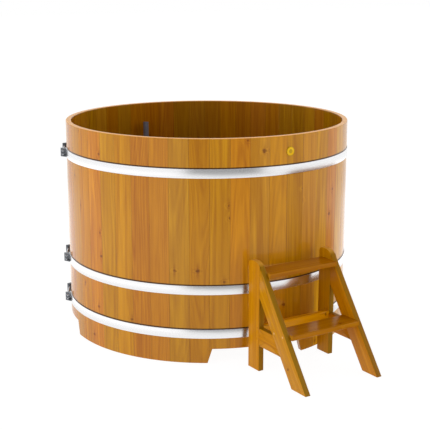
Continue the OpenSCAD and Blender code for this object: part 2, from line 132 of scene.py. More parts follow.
def ramp(tree, value, low, high, start=0.0, end=1.0, eased=True):
    """Runs from start to end while value runs from low to high and stays there beyond, eased at both ends
    or straight."""
    kind = "SMOOTHSTEP" if eased else "LINEAR"
    return add(tree, "MapRange", {0: value, 1: low, 2: high, 3: start, 4: end}, interpolation_type=kind)


def blend(tree, share, first, second, how="MIX"):
    """The first colour where share is 0 or less and, where it is 1 or more, the second or the product of
    both."""
    return add(tree, "Mix", {0: share, 6: first, 7: second}, 2, data_type="RGBA", blend_type=how)


def new_finish(name):
    """An empty material and its node tree."""
    material = bpy.data.materials.new(name)
    material.use_nodes = True
    material.node_tree.nodes.clear()
    return material, material.node_tree


def finish_surface(tree, colour, roughness, height, relief, fixed):
    """Ends a material with one principled surface, its relief in metres; fixed holds its constant
    values."""
    bump = add(tree, "Bump", {"Height": height, "Distance": relief})
    surface = add(tree, "BsdfPrincipled",
                  {"Base Color": colour, "Roughness": roughness, "Normal": bump, **fixed})
    output = tree.nodes.new("ShaderNodeOutputMaterial")
    tree.links.new(surface, output.inputs["Surface"])


# Varnish thinned with oil soaks into wood and leaves a clear, smooth skin: its gloss is the only one that
# shows, and it is weaker than that of a thick lacquer.
VARNISH = {"IOR": 1.37}
# The steps have a thinner, oilier coat still.
THIN_VARNISH = {"IOR": 1.25}
# Their upright boards are only oiled and hardly shine.
OILED = {"IOR": 1.2}

# Larch. Streaks and fibres are counted per metre across the board, through it and along it. Fibres are
# about 0.1 mm wide, drawn 1.4 mm wide and some 80 mm long so that they show. A real ring is 2 to 3 mm
# wide, drawn 6.5 mm wide so that it shows, and streaks make it waver.
STREAKS = (60.0, 60.0, 2.2)
FIBRES = (700.0, 700.0, 12.0)
RING_W = 0.0065
RING_WAVER = 0.005
LATE_WOOD_POWER = 2.2
BANDS_PER_M = 85.0
# The log's heart: its drifts per metre along the board, how far they go to the side, how much it may lean
# into the board, and how deep it lies.
DRIFTS_PER_M = 1.25
HEART_SIDE = 0.07
HEART_LEAN = 0.07
HEART_DEPTH, HEART_DEPTH_SPREAD = 0.03, 0.12
# Knots: the cells of their net, the share of empty ones, radii, ragged edge and its fading, the halo's
# fading, and how far the rings are pushed aside, and up to which distance.
KNOT_CELLS_PER_M = 5.0
EMPTY_CELLS = 0.55
KNOT_R, KNOT_R_SPREAD = 0.005, 0.007
KNOT_RAGGED, RAGS_PER_M = 0.012, 90.0
KNOT_FADE = (-0.005, 0.004)
HALO_FADE = (0.001, 0.011)
RING_PUSH, RING_PUSH_R = 0.013, 0.034
# Each board reads the noises at places of its own, its number times these.
OWN_DRIFT, OWN_CELL_ACROSS, OWN_CELL_ALONG, OWN_BANDS = 7.7, 5.37, 3.71, 31.0
# How much each part of the grain darkens the wood, counted from a start below the lightest tone.
TONE_START = -0.74
TONE = {"bands": 0.8, "streak": 1.0, "ring": 0.13, "halo": 0.35, "fibre": 0.5}
KNOT_SHARE = 0.75
HUE_SPREAD, VALUE_SPREAD = 0.020, 0.20
# Relief is given as a height in metres for a ring; fibres count for a quarter, and a joint is deeper.
WOOD_RELIEF = 0.00006
FIBRE_HEIGHT, JOINT_HEIGHT = 0.25, -6.0
# How rough the varnish is, and how much fibres and sawn ends add to it.
STAVE_ROUGH = 0.12
FIBRE_ROUGH = 0.08
SAWN_ROUGH = 0.2
# A joint's line: where it starts and where it is full, in metres from the joint on each side.
STAVE_JOINT = (0.0011, 0.0002)
BOARD_JOINT = (0.0018, 0.0004)
# The random start of the staves' tones.
STAVE_SEED = 216.0
# Marks on steel for each metre of x, y and z.
BAND_MARKS = (6.0, 6.0, 650.0)
GRIT_MARKS = (900.0, 900.0, 900.0)


def larch_grain(tree, across, depth, along, board, seed):
    """Numbers of sawn larch at a point, from its distances in metres across the board, through it and
    along it, and the board's number. The log's heart lies a few centimetres behind the face and drifts
    sideways and in depth along the board, and a growth ring is a wave of the distance from it: where the
    heart drifts, the rings run out as long arches. Knots are ragged spots of 10 to 24 mm, about one to a
    board, that push the rings aside. Gives the ring wave, broad bands, fine fibres, streaks, knots with
    their halo, and three random numbers of the board."""
    own = calc(tree, "ADD", board, seed)
    noise = add(tree, "TexWhiteNoise", {"W": own}, "Color", noise_dimensions="1D")
    luck = add(tree, "SeparateColor", {0: noise}).node.outputs
    place = add(tree, "CombineXYZ", {0: across, 1: depth, 2: along})

    drift_at = calc(tree, "MULTIPLY_ADD", own, OWN_DRIFT, calc(tree, "MULTIPLY", along, DRIFTS_PER_M))
    drift = add(tree, "TexNoise", {"W": drift_at, "Scale": 1.0, "Detail": 1.0}, noise_dimensions="1D")
    side = calc(tree, "MULTIPLY_ADD", calc(tree, "ADD", luck[0], drift), -HEART_SIDE, HEART_SIDE)
    tilt = calc(tree, "MULTIPLY", calc(tree, "SUBTRACT", luck[2], 0.5), along)
    back = calc(tree, "MULTIPLY_ADD", luck[1], HEART_DEPTH_SPREAD, HEART_DEPTH)
    back = calc(tree, "MULTIPLY_ADD", tilt, HEART_LEAN, back)
    heart = add(tree, "CombineXYZ", {0: calc(tree, "ADD", across, side), 1: calc(tree, "ADD", depth, back)})
    from_heart = vector(tree, "LENGTH", heart, out="Value")

    # Knots lie on a loose net of cells, wider than high, with about half of the cells empty. Their halo
    # trails along the board.
    cells = add(tree, "CombineXYZ", {0: calc(tree, "MULTIPLY_ADD", own, OWN_CELL_ACROSS, across),
                                     1: calc(tree, "MULTIPLY_ADD", own, OWN_CELL_ALONG, along)})
    spot = add(tree, "TexVoronoi", {"Vector": cells, "Scale": KNOT_CELLS_PER_M}, "Position",
               voronoi_dimensions="2D").node.outputs
    spot_luck = add(tree, "SeparateColor", {0: spot["Color"]}).node.outputs
    present = calc(tree, "GREATER_THAN", spot_luck[0], EMPTY_CELLS)
    gap = vector(tree, "SUBTRACT", cells, spot["Position"])
    away, trail = [vector(tree, "LENGTH", vector(tree, "MULTIPLY", gap, stretch), out="Value")
                   for stretch in ((1.0, 1.4, 1.0), (1.0, 0.2, 1.0))]
    ragged = add(tree, "TexNoise", {"Vector": cells, "Scale": RAGS_PER_M, "Detail": 1.0},
                 noise_dimensions="2D")
    away = calc(tree, "MULTIPLY_ADD", ragged, KNOT_RAGGED, calc(tree, "SUBTRACT", away, KNOT_RAGGED / 2))
    reach = calc(tree, "MULTIPLY_ADD", spot_luck[1], KNOT_R_SPREAD, KNOT_R)
    knot = ramp(tree, calc(tree, "SUBTRACT", away, reach), *KNOT_FADE, 1.0, 0.0)
    halo = ramp(tree, trail, *HALO_FADE, 1.0, 0.0)
    push = ramp(tree, away, 0.0, RING_PUSH_R, RING_PUSH, 0.0)
    knot, halo, push = [calc(tree, "MULTIPLY", part, present) for part in (knot, halo, push)]

    streak, fibre = [add(tree, "TexNoise", {"Vector": vector(tree, "MULTIPLY", place, count), "W": own,
                                            "Scale": 1.0, "Detail": 2.0}, noise_dimensions="4D")
                     for count in (STREAKS, FIBRES)]
    ring_at = calc(tree, "MULTIPLY_ADD", streak, RING_WAVER, calc(tree, "ADD", from_heart, push))
    wave = calc(tree, "SINE", calc(tree, "MULTIPLY", ring_at, 2 * math.pi / RING_W))
    ring = calc(tree, "POWER", calc(tree, "MULTIPLY_ADD", wave, 0.5, 0.5), LATE_WOOD_POWER)
    bands_at = calc(tree, "MULTIPLY_ADD", ring_at, BANDS_PER_M, calc(tree, "MULTIPLY", own, OWN_BANDS))
    bands = add(tree, "TexNoise", {"W": bands_at, "Scale": 1.0, "Detail": 2.0, "Roughness": 0.6},
                noise_dimensions="1D")
    return {"ring": ring, "bands": bands, "fibre": fibre, "streak": streak, "knot": knot, "halo": halo,
            "luck": luck}


def larch_colour(tree, grain, light, dark, knot_colour, ends, end_share, spread, pale=0.0):
    """The colour of larch: light early wood, darker late wood and bands, each board a little lighter,
    darker, redder or greener by spread and paler by up to pale, brown knots, and the ends of the board
    where end_share is 1."""
    tone = TONE_START
    for part, weight in TONE.items():
        tone = calc(tree, "MULTIPLY_ADD", grain[part], weight, tone)
    wood = blend(tree, tone, linear(light), linear(dark))
    hue = calc(tree, "MULTIPLY_ADD", grain["luck"][1], HUE_SPREAD * spread, 0.5 - HUE_SPREAD * spread / 2)
    value = calc(tree, "MULTIPLY_ADD", grain["luck"][2], VALUE_SPREAD * spread,
                 1 - VALUE_SPREAD * spread / 2)
    rich = calc(tree, "MULTIPLY_ADD", grain["luck"][0], pale, 1 - pale)
    wood = add(tree, "HueSaturation", {"Hue": hue, "Saturation": rich, "Value": value, "Color": wood})
    wood = blend(tree, calc(tree, "MULTIPLY", grain["knot"], KNOT_SHARE), wood, linear(knot_colour))
    return blend(tree, end_share, wood, linear(ends))


def larch_relief(tree, grain, groove):
    """The height of the surface: fibres and rings stand out a little under the varnish, and a groove
    sinks."""
    height = calc(tree, "MULTIPLY_ADD", grain["fibre"], FIBRE_HEIGHT, grain["ring"])
    return calc(tree, "MULTIPLY_ADD", groove, JOINT_HEIGHT, height)


def joint_groove(tree, across, board_width, line):
    """Is 1 at the joint of two boards and eases to 0 where its line starts; across runs from the board's
    middle."""
    start, full = line
    past_joint = calc(tree, "SUBTRACT", calc(tree, "ABSOLUTE", across), board_width / 2)
    return ramp(tree, past_joint, -start, -full)


def stave_finish():
    """Planed larch staves, oiled and varnished: each of the 48 is a board of its own, so colour and grain
    change at every joint, where a fine dark line shows; the sawn rim is painted paler, partly its end
    grain's own tone and partly a painted highlight of the light on the rim; the inside is painted darker as
    painted shade within the tub; and a painted shadow lies along each hoop's upper edge."""
    material, tree = new_finish("varnished_larch_staves")
    place = add(tree, "SeparateXYZ", {0: add(tree, "TexCoord", out="Object")}).node.outputs
    turn = calc(tree, "ARCTAN2", place[0], calc(tree, "MULTIPLY", place[1], -1.0))
    count = calc(tree, "MULTIPLY_ADD", turn, 1 / STAVE_ANGLE, 0.5 - STAVE_TURN / STAVE_ANGLE)
    board = calc(tree, "FLOORED_MODULO", calc(tree, "FLOOR", count), STAVES)
    within = calc(tree, "SUBTRACT", calc(tree, "FRACT", count), 0.5)
    across = calc(tree, "MULTIPLY", within, STAVE_W)
    radius = vector(tree, "LENGTH", add(tree, "CombineXYZ", {0: place[0], 1: place[1]}), out="Value")
    depth = calc(tree, "SUBTRACT", radius, TUB_R)
    grain = larch_grain(tree, across, depth, place[2], board, STAVE_SEED)
    facing = add(tree, "SeparateXYZ", {0: add(tree, "TexCoord", out="Normal")}).node.outputs
    # The rim's pale end colour is partly the end grain's own tone and partly a painted highlight of the
    # light falling on the rim.
    end_share = ramp(tree, calc(tree, "ABSOLUTE", facing[2]), 0.55, 0.85, 0.0, 0.85, eased=False)
    colour = larch_colour(tree, grain, "#D29000", "#9C5800", "#663000", "#FFBA62", end_share, 1.0, 0.024)
    groove = joint_groove(tree, across, STAVE_W, STAVE_JOINT)
    colour = blend(tree, calc(tree, "MULTIPLY", groove, 0.55), colour, linear("#4A2A08"))
    # A painted shadow: a thin dark line is painted on the outer face along the upper edge of each hoop,
    # some
    # 6 mm high, where the gap between hoop and staves would cast shade.
    outer = calc(tree, "GREATER_THAN", radius, TUB_R - 0.004)
    for z in HOOP_HEIGHTS.values():
        over = calc(tree, "ABSOLUTE", calc(tree, "SUBTRACT", place[2], z + HOOP_W / 2 + 0.0025))
        line = calc(tree, "MULTIPLY", ramp(tree, over, 0.0020, 0.0036, 0.90, 0.0), outer)
        colour = blend(tree, line, colour, linear("#241202"))
    # Painted shade: the inside of the tub is painted darker, in place of the shade within the bore.
    inside = ramp(tree, radius, BORE_R + 0.003, BORE_R + 0.001, eased=False)
    colour = blend(tree, inside, colour, blend(tree, 1.0, colour, linear("#CCC4B4"), "MULTIPLY"))
    rough = calc(tree, "MULTIPLY_ADD", grain["fibre"], FIBRE_ROUGH, STAVE_ROUGH)
    rough = calc(tree, "MULTIPLY_ADD", end_share, SAWN_ROUGH, rough)
    finish_surface(tree, colour, rough, larch_relief(tree, grain, groove), WOOD_RELIEF, VARNISH)
    return material


def board_finish(name, ways, light, dark, ends, board=None, seed=1.0, gap_line=False, narrow_edges=False,
                 coat=VARNISH, dull=0.14):
    """Planed larch boards: ways are the unit directions along, across and through them in the shared
    frame. A board's number is constant, or counts the boards of a floor by their pitch. Narrow edges are a
    little more olive than the faces, because the rings are cut along them."""
    material, tree = new_finish(name)
    place = add(tree, "TexCoord", out="Object")
    normal = add(tree, "TexCoord", out="Normal")
    run, width, depth = [vector(tree, "DOT_PRODUCT", place, way, out="Value") for way in ways]
    if board is None:
        count = calc(tree, "MULTIPLY_ADD", width, 1 / BOARD_PITCH, 0.5)
        board = calc(tree, "FLOOR", count)
        within = calc(tree, "SUBTRACT", calc(tree, "FRACT", count), 0.5)
        width = calc(tree, "MULTIPLY", within, BOARD_PITCH)
    grain = larch_grain(tree, width, depth, run, board, seed)
    end_on, edge_on = [calc(tree, "ABSOLUTE", vector(tree, "DOT_PRODUCT", normal, way, out="Value"))
                       for way in ways[:2]]
    end_share = ramp(tree, end_on, 0.6, 0.85, 0.0, 0.6, eased=False)
    colour = larch_colour(tree, grain, light, dark, "#6A3200", ends, end_share, 0.6)
    if narrow_edges:
        olive = blend(tree, 1.0, colour, linear("#C8D4B0"), "MULTIPLY")
        colour = blend(tree, ramp(tree, edge_on, 0.5, 0.8, eased=False), colour, olive)
    groove = 0.0
    if gap_line:
        groove = joint_groove(tree, width, BOARD_PITCH, BOARD_JOINT)
        colour = blend(tree, calc(tree, "MULTIPLY", groove, 0.7), colour, linear("#3A2208"))
    rough = calc(tree, "MULTIPLY_ADD", grain["fibre"], FIBRE_ROUGH, dull)
    finish_surface(tree, colour, rough, larch_relief(tree, grain, groove), WOOD_RELIEF, coat)
    return material


def steel_finish(name, tint, roughness, rolled=False):
    """Stainless steel: bright and slightly brushed. Rolled band has faint lines along the band, 1.5 mm
    apart; turned and pressed pieces have a fine even grit of about 1 mm. Both are drawn coarser than
    real."""
    material, tree = new_finish(name)
    place = add(tree, "TexCoord", out="Object")
    marks_at = vector(tree, "MULTIPLY", place, BAND_MARKS if rolled else GRIT_MARKS)
    marks = add(tree, "TexNoise", {"Vector": marks_at, "Scale": 1.0, "Detail": 1.0})
    smears = add(tree, "TexNoise", {"Vector": place, "Scale": 14.0, "Detail": 2.0})
    rough = calc(tree, "MULTIPLY_ADD", marks, 0.04, roughness - 0.04)
    rough = calc(tree, "MULTIPLY_ADD", smears, 0.04, rough)
    shade = calc(tree, "MULTIPLY_ADD", marks, 0.10, -0.02)
    colour = blend(tree, shade, linear(tint), linear("#9A9DA2"))
    finish_surface(tree, colour, rough, marks, 0.000008 if rolled else 0.00002, {"Metallic": 1.0})
    return material


def plain_finish(name, tint, shade_tint, roughness, grit, relief, ior, hollow=None):
    """Enamel, plastic or rubber: one colour with faint clouds of a second, and an even grit of that size in
    metres. A hollow is a darker tint round a centre: it fades between a deep and a shoal radius, and comes
    back outside of a rim radius."""
    material, tree = new_finish(name)
    place = add(tree, "TexCoord", out="Object")
    clouds = add(tree, "TexNoise", {"Vector": place, "Scale": 22.0, "Detail": 3.0})
    grains = add(tree, "TexNoise", {"Vector": place, "Scale": 1 / grit, "Detail": 1.0})
    colour = blend(tree, ramp(tree, clouds, 0.35, 0.7), linear(tint), linear(shade_tint))
    if hollow:
        centre, deep, shoal, rim, dark = hollow
        away = vector(tree, "LENGTH", vector(tree, "SUBTRACT", place, centre), out="Value")
        inner_share = ramp(tree, away, deep, shoal, 0.75, 0.0)
        rim_share = ramp(tree, away, rim - 0.001, rim + 0.001, 0.0, 0.8)
        colour = blend(tree, calc(tree, "MAXIMUM", inner_share, rim_share), colour, linear(dark))
    rough = calc(tree, "MULTIPLY_ADD", grains, 0.08, roughness - 0.04)
    finish_surface(tree, colour, rough, grains, relief, {"IOR": ior})
    return material


# Shapes ---------------------------------------------------------------------

# Faces that meet at a sharper angle than this keep their edge.
SHARP_ANGLE = math.radians(32)
# Points closer than this are the same corner.
SAME_POINT = 1e-6
# Columns round a turned piece, a small one and a hexagon.
TURNED_COLUMNS, SMALL_COLUMNS, HEX_COLUMNS = 72, 32, 24
# The flat faces of heads and nuts end in a circle, from which a chamfer of 30 degrees runs down.
CHAMFER_R = NUT_W / 2 * 0.94
CHAMFER_SLOPE = math.tan(math.radians(30))
THREAD_DEPTH = 0.00064
THREAD_ROWS_PER_TURN = 6
# The quarter round along a plank's edges, and the one where two planks meet.
EASE = 0.0018
TIGHT = 0.0002


def piece(name, grids, body, material, slot_name, *nodes):
    """One mesh in place of CAD nodes, from grids of points. A grid's rows follow each other, and each row
    is a closed loop of columns; the first and last rows are joined too where the grid says so, and
    otherwise end in a point."""
    corners, faces, start = [], [], 0
    for points, closed in grids:
        rows, columns = points.shape[:2]
        corners.append(points.reshape(-1, 3))
        row = np.arange(rows if closed else rows - 1)[:, None]
        column = np.arange(columns)[None, :]
        after, beside = (row + 1) % rows, (column + 1) % columns
        quads = np.stack([row * columns + column, row * columns + beside,
                          after * columns + beside, after * columns + column], -1)
        faces.append(quads.reshape(-1, 4) + start)
        start += rows * columns
    mesh = bpy.data.meshes.new(name)
    mesh.from_pydata(np.concatenate(corners).tolist(), [], np.concatenate(faces).tolist())
    shell = bmesh.new()
    shell.from_mesh(mesh)
    bmesh.ops.remove_doubles(shell, verts=shell.verts, dist=SAME_POINT)
    bmesh.ops.recalc_face_normals(shell, faces=shell.faces)
    shell.to_mesh(mesh)
    shell.free()
    mesh.shade_smooth()
    mesh.set_sharp_from_angle(angle=SHARP_ANGLE)
    made = bpy.data.objects.new(name, mesh)
    bpy.context.scene.collection.objects.link(made)
    mesh.materials.append(material)
    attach(made, body)
    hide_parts(*nodes)


def turned(profile, columns, centre, axis, closed):
    """A profile of (radius, distance along the axis) turned round the axis through centre."""
    profile = np.asarray(profile, float)
    axis = np.asarray(axis, float)
    side = np.array([1.0, 0, 0]) if abs(axis[0]) < 0.9 else np.array([0, 1.0, 0])
    side = side - axis * (side @ axis)
    side /= np.linalg.norm(side)
    other = np.cross(axis, side)
    angle = np.linspace(0, 2 * np.pi, columns, endpoint=False)
    spoke = np.cos(angle)[:, None] * side + np.sin(angle)[:, None] * other
    radius, ahead = profile[:, 0, None, None], profile[:, 1, None, None]
    return radius * spoke + ahead * axis + np.asarray(centre, float), closed


def round_corner(centre, radius, start, end, steps=4):
    """Points of a corner's arc, its angles in degrees."""
    angle = np.radians(np.linspace(start, end, steps + 1))
    return np.stack([centre[0] + radius * np.cos(angle), centre[1] + radius * np.sin(angle)], 1)


def hoop_band(z):
    """A flat band with rounded edges carried round the tub from one side of the tensioner to the other:
    the section is a rounded rectangle of radius and height, and each row of it stands at one angle. The
    band is 0.15 mm thinner than the CAD's, whose circle has flat facets, to stay inside its box."""
    ease, outer, stations = 0.0011, HOOP_OUT_R - 0.00015, 421
    high, near, far = HOOP_W / 2 - ease, HOOP_IN_R + ease, outer - ease
    section = np.concatenate([
        round_corner((far, high), ease, 0, 90), round_corner((near, high), ease, 90, 180),
        round_corner((near, -high), ease, 180, 270), round_corner((far, -high), ease, 270, 360)])
    opening = math.asin((LUG_IN - LUG_T) / HOOP_OUT_R)
    angle = np.linspace(TENSION_TURN + opening, TENSION_TURN + 2 * np.pi - opening, stations)
    angle = np.concatenate([angle[:1], angle, angle[-1:]])[:, None]
    end = np.tile(section.mean(0), (1, len(section), 1))
    rows = np.concatenate([end, np.tile(section, (stations, 1, 1)), end])
    radius, up = rows[..., 0], rows[..., 1] + z
    return np.stack([radius * np.sin(angle), -radius * np.cos(angle), up], -1), False


def at_tensioner(rows, columns, z):
    """Points round a bolt's axis, which runs across the hoop's tensioner, from rows of (x along the bolt,
    radius); both are one number, or one for each column's angle round the bolt. The whole is turned to the
    tensioner's place round the tub."""
    x, radius = [np.stack([np.broadcast_to(row[part], columns) for row in rows]) for part in (0, 1)]
    angle = np.linspace(0, 2 * np.pi, columns, endpoint=False)
    y = -(HOOP_OUT_R + BOLT_OFF) * math.cos(math.asin(LUG_IN / HOOP_OUT_R)) + radius * np.cos(angle)
    up = z + radius * np.sin(angle)
    cos, sin = math.cos(TENSION_TURN), math.sin(TENSION_TURN)
    return np.stack([x * cos - y * sin, x * sin + y * cos, up], -1)


def hexagon():
    """The radius of a hexagon with corners above and below, at each column's angle, and the length along
    the axis that its chamfer takes there."""
    angle = np.degrees(np.linspace(0, 2 * np.pi, HEX_COLUMNS, endpoint=False))
    flat = NUT_W / 2 / np.cos(np.radians((angle + 30) % 60 - 30))
    return flat, (flat - CHAMFER_R) * CHAMFER_SLOPE


def tension_bolt(z):
    """A hexagon-head bolt as rows along its axis: a chamfered head, a plain shank, and a thread whose
    radius is a wave of the distance along the bolt less the share of a turn round it."""
    flat, bevel = hexagon()
    head = -LUG_IN - LUG_T - WASHER_T
    tip = LUG_IN + LUG_T + WASHER_T + NUT_H + BOLT_SPARE
    run_out, tip_r = 0.001, BOLT_R * 0.74
    rows = [(head - HEAD_H, 0), (head - HEAD_H, CHAMFER_R), (head - HEAD_H + bevel, flat), (head, flat),
            (head, BOLT_R), (tip - THREAD_LENGTH - run_out, BOLT_R)]
    thread_at = np.arange(tip - THREAD_LENGTH, tip - run_out, THREAD_PITCH / THREAD_ROWS_PER_TURN)
    turn = np.linspace(0, 1, HEX_COLUMNS, endpoint=False)
    depth = THREAD_DEPTH / 2 * (1 - np.cos(2 * np.pi * (thread_at[:, None] / THREAD_PITCH - turn)))
    rows += zip(thread_at, BOLT_R - depth)
    rows += [(tip, tip_r), (tip, 0)]
    return at_tensioner(rows, HEX_COLUMNS, z), False


def nut(z):
    """A hexagon nut chamfered on both faces, as rows round its own closed section."""
    flat, bevel = hexagon()
    low, bore = LUG_IN + LUG_T + WASHER_T, BOLT_R + THREAD_GAP
    high = low + NUT_H
    rows = [(low, bore), (low, CHAMFER_R), (low + bevel, flat), (high - bevel, flat), (high, CHAMFER_R),
            (high, bore)]
    return at_tensioner(rows, HEX_COLUMNS, z), True


def washer(x, z):
    """A flat ring with eased outer edges, as rows round its section."""
    ease, bore = 0.0003, BOLT_R + THREAD_GAP
    rows = [(x, bore), (x, WASHER_R - ease), (x + ease, WASHER_R), (x + WASHER_T - ease, WASHER_R),
            (x + WASHER_T, WASHER_R - ease), (x + WASHER_T, bore)]
    return at_tensioner(rows, SMALL_COLUMNS, z), True


def rounded_outline(corners, radii, steps=5):
    """A closed outline with each corner replaced by an arc: the arc starts and ends at the radius over the
    tangent of half the corner's angle from the corner, and its middle lies on the angle's halving line."""
    corners, out = np.asarray(corners, float), []
    for before, here, after, radius in zip(np.roll(corners, 1, 0), corners, np.roll(corners, -1, 0), radii):
        to, on = [(other - here) / np.linalg.norm(other - here) for other in (before, after)]
        half = math.acos(np.clip(to @ on, -1, 1)) / 2
        middle = here + (to + on) / np.linalg.norm(to + on) * radius / math.sin(half)
        first, last = [here + way * radius / math.tan(half) - middle for way in (to, on)]
        sweep = math.pi - 2 * half
        share = np.linspace(0, 1, steps + 1)[:, None]
        spoke = np.sin((1 - share) * sweep) * first + np.sin(share * sweep) * last
        out.append(middle + spoke / math.sin(sweep))
    return np.concatenate(out)


def plank(outline, middle, to_frame):
    """A board from a convex outline: rows step from one face's middle out to its eased edge, over the
    thickness and back. Easing draws the outline in along its corners' halving lines by a quarter round."""
    before, after = outline - np.roll(outline, 1, 0), np.roll(outline, -1, 0) - outline
    before, after = [v / np.linalg.norm(v, axis=1, keepdims=True) for v in (before, after)]
    inward = np.stack([-(before + after)[:, 1], (before + after)[:, 0]], 1)
    inward /= (inward * np.stack([-before[:, 1], before[:, 0]], 1)).sum(1, keepdims=True)
    centre = np.tile(outline.mean(0), (len(outline), 1))
    edge = [(outline + inward * EASE * (1 - math.cos(a)), PLANK_T / 2 - EASE * (1 - math.sin(a)))
            for a in np.radians([90, 60, 30, 0])]
    rows = [(centre, -PLANK_T / 2)] + [(points, -side) for points, side in edge]
    rows += edge[::-1] + [(centre, PLANK_T / 2)]
    flat = np.stack([row[0] for row in rows])
    side = np.stack([np.full(len(outline), middle + row[1]) for row in rows])
    return to_frame(flat, side), False


def upright(flat, side):
    """Puts an outline of (distance out from the tub, height) and a sideways place into the shared frame."""
    return np.stack([STEPS_X + side, -STEPS_BACK - flat[..., 0], flat[..., 1]], -1)


def crosswise(flat, out):
    """Puts an outline of (sideways place, height) and a distance out from the tub into the shared frame."""
    return np.stack([STEPS_X + flat[..., 0], -STEPS_BACK - out, flat[..., 1]], -1)


# The object's finishes ------------------------------------------------------

X_WAY, Y_WAY, Z_WAY = (1.0, 0.0, 0.0), (0.0, 1.0, 0.0), (0.0, 0.0, 1.0)
LEAN_UP = (0.0, math.sin(STEP_LEAN), math.cos(STEP_LEAN))
LEAN_ACROSS = (0.0, math.cos(STEP_LEAN), -math.sin(STEP_LEAN))

staves = stave_finish()
floor_wood = board_finish("varnished_larch_floor", (Y_WAY, X_WAY, Z_WAY), "#C68604", "#A06000", "#D8AC6C",
                          seed=31.0, gap_line=True)
batten_wood = board_finish("planed_larch_battens", (X_WAY, Y_WAY, Z_WAY), "#C08A1C", "#946008", "#D8AC6C",
                           board=4.0)
dowel_wood = board_finish("planed_beech_dowels", (Y_WAY, X_WAY, Z_WAY), "#DDB07A", "#C08E54", "#C89860",
                          board=3.0, seed=9.0)
pale_plug_wood = board_finish("pale_larch_plugs", (Z_WAY, Y_WAY, X_WAY), "#F0C888", "#D8A058", "#E8BC7C",
                              board=6.0, seed=5.0)
plug_wood = board_finish("larch_plugs", (Z_WAY, Y_WAY, X_WAY), "#DC9C1C", "#BC7808", "#D2983C",
                         board=7.0, seed=5.0)
# The rear rail is painted lighter than the other step boards of the same larch: painted light for a rail
# that sits in shade under the lower tread.
rear_rail_painted_light_wood = board_finish("varnished_larch_rear_rail", (X_WAY, Z_WAY, Y_WAY), "#EEA600", "#D08600",
                         "#D2983C", board=1.0, seed=113.0, coat=THIN_VARNISH)
tread_wood = board_finish("varnished_larch_treads", (X_WAY, Y_WAY, Z_WAY), "#B47600", "#905200", "#C08420",
                          board=2.0, seed=131.0, coat=THIN_VARNISH)
rolled_steel = steel_finish("rolled_stainless_band", "#F5F5F6", 0.235, rolled=True)
pressed_steel = steel_finish("pressed_stainless_lug", "#76797E", 0.30)
bolt_steel = steel_finish("turned_stainless_bolt", "#C4C8CE", 0.26)
nut_steel = steel_finish("stainless_nut", "#A4A7AC", 0.28)
screw_steel = steel_finish("stainless_screw", "#B4B8BE", 0.30)
clip_steel = steel_finish("stainless_spring_clip", "#C0C4CA", 0.24)
drain_chrome = steel_finish("polished_drain_brass_chrome", "#E4E6EA", 0.10)
# Vitreous enamel: glassy, with hardly any texture, and darker in the ring's hollow and at the rim.
enamel = plain_finish("glossy_yellow_enamel", "#EEBE00", "#E4B000", 0.26, 0.004, 0.00001, 1.32,
                      hollow=((0, -TUB_R, BADGE_Z), 0.0092, 0.0120, BADGE_R - 0.0026, "#A88200"))
# Extruded grey pipe: satin, with a very faint orange-peel skin.
pipe_grey = plain_finish("extruded_grey_pipe", "#666470", "#5A5862", 0.42, 0.003, 0.00002, 1.53)
rubber = plain_finish("moulded_black_rubber", "#1E1F21", "#2A2B2D", 0.75, 0.0012, 0.00005, 1.5)


def dress(material, *names):
    """Gives CAD nodes their finish."""
    for name in names:
        nodes[name].data.materials.clear()
        nodes[name].data.materials.append(material)


dress(staves, *[name for name in nodes if name.endswith("staves") or "_staves_" in name])
dress(floor_wood, "floor_boards_left", "floor_boards_middle", "floor_boards_right")
dress(batten_wood, "floor_battens")
dress(screw_steel, "batten_screws", "step_screws")
dress(pressed_steel, "bottom_lugs", "middle_lugs", "top_lugs")
dress(drain_chrome, "drain_body", "drain_nut")
dress(rubber, "drain_gasket", "drain_washer")
dress(clip_steel, "pipe_clips")
dress(dowel_wood, "frame_dowels")
dress(tread_wood, "upper_tread", "lower_tread")

# Hoops and their tensioners
for level, z in HOOP_HEIGHTS.items():
    rows = (z - BOLT_PITCH / 2, z + BOLT_PITCH / 2)
    nut_side, head_side = LUG_IN + LUG_T, -LUG_IN - LUG_T - WASHER_T
    piece(f"{level}_hoop_band", [hoop_band(z)], "tub", rolled_steel, "hoop_steel", f"{level}_hoop")
    piece(f"{level}_threaded_bolts", [tension_bolt(row) for row in rows], "tub", bolt_steel, "bolt_steel",
          f"{level}_tension_bolts")
    piece(f"{level}_nuts_and_washers",
          [nut(row) for row in rows] + [washer(x, row) for x in (nut_side, head_side) for row in rows],
          "tub", nut_steel, "nut_steel", f"{level}_nuts")

# Badge: a low dish with a rounded rim and one raised ring, flat against the wall.
badge_ease = 0.0008
badge_profile = [(0, 0), (BADGE_R, 0), (BADGE_R, BADGE_T - badge_ease)]
badge_profile += round_corner((BADGE_R - badge_ease, BADGE_T - badge_ease), badge_ease, 15, 90).tolist()
badge_profile += [(radius, BADGE_T - depth) for radius, depth in (
    (BADGE_R - 0.0024, 0), (BADGE_R - 0.0029, 0.0003), (BADGE_R - 0.0032, 0.0009), (0.0120, 0.0008),
    (0.0112, 0.0004), (0.0100, 0.0004), (0.0092, 0.0008), (0.0050, 0.00055), (0, 0.00045))]
piece("round_badge", [turned(badge_profile, TURNED_COLUMNS, (0, -TUB_R, BADGE_Z), (0, -1, 0), False)],
      "tub", enamel, "badge_enamel", "badge")

# Overflow standpipe: a tube with a rounded mouth.
lip = PIPE_WALL / 2
pipe_profile = [(PIPE_R, PIPE_LOW), (PIPE_R, PIPE_TOP - lip)]
pipe_profile += round_corner((PIPE_R - lip, PIPE_TOP - lip), lip, 22, 158, 5).tolist()
pipe_profile += [(PIPE_R - PIPE_WALL, PIPE_TOP - lip), (PIPE_R - PIPE_WALL, PIPE_LOW)]
piece("grey_standpipe", [turned(pipe_profile, TURNED_COLUMNS, (0, PIPE_Y, 0), (0, 0, 1), True)],
      "standpipe", pipe_grey, "pipe_plastic", "standpipe")

